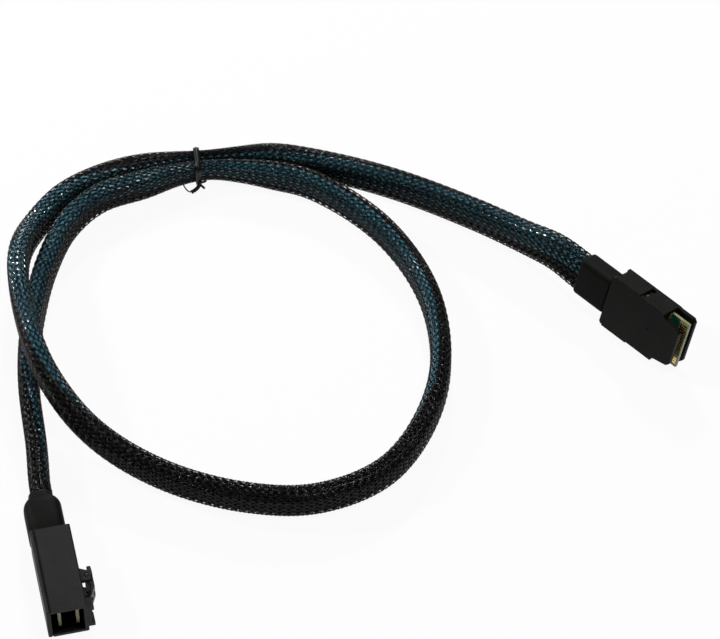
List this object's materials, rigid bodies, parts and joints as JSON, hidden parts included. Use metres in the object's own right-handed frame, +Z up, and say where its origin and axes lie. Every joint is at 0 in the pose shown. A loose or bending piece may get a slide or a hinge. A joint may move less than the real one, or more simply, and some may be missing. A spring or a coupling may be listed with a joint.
{
  "type": "internal sas cable",
  "caption": "Internal SAS cable: a braided oval cable laid in a loop and tied, with a stacked-card plug with a press latch on one end and a wide single-card plug with a metal latch on the other.",
  "frame": {"origin": "middle of the stacked-card plug's underside, on the table that the cable lies on", "axes": "+Z up from the table, +Y from the stacked-card plug's mating end towards its cable end, +X towards its latch and the wide plug"},
  "size_m": [0.2064, 0.165, 0.0214],
  "materials": {
    "housing": "fine matte texture",
    "latch": "satin",
    "shell": "satin",
    "boot": "matte",
    "block": "matte",
    "card": "printed circuit card with gold contact pads",
    "steel": "bright stamped spring steel",
    "sleeve": "open braid of glossy monofilaments",
    "ribbon": "glossy ribbon insulation",
    "wire": "glossy insulation",
    "tie": "satin"
  },
  "bodies": {
    "cable_and_plugs": {"hd_base_shell": "housing", "hd_cover_plate": "housing", "hd_wire_block": "block", "hd_boot": "boot", "hd_card_inner": "card", "hd_card_outer": "card", "mini_bottom_shell": "shell", "mini_top_shell": "shell", "mini_card": "card", "mini_wire_block": "block", "mini_boot": "boot", "braided_sleeve": "sleeve", "ribbon_1": "ribbon", "ribbon_2": "ribbon", "ribbon_3": "ribbon", "ribbon_4": "ribbon", "sideband_wires": "wire", "twist_tie": "tie"},
    "hd_latch": {"hd_latch": "latch"},
    "mini_latch": {"mini_latch": "steel"}
  },
  "joints": [
    {"name": "hd_latch_press", "type": "hinge", "parent": "cable_and_plugs", "child": "hd_latch", "pos_m": [0.0075, -0.0036, 0.0063], "axis": [0, 0, 1], "range_deg": [0, 8], "stiffness_Nm_per_rad": 0.05},
    {"name": "mini_latch_press", "type": "hinge", "parent": "cable_and_plugs", "child": "mini_latch", "pos_m": [0.19308, 0.0514, 0.00865], "axis": [0.2536, 0.1775, 0.9509], "range_deg": [0, 4], "stiffness_Nm_per_rad": 0.5}
  ]
}
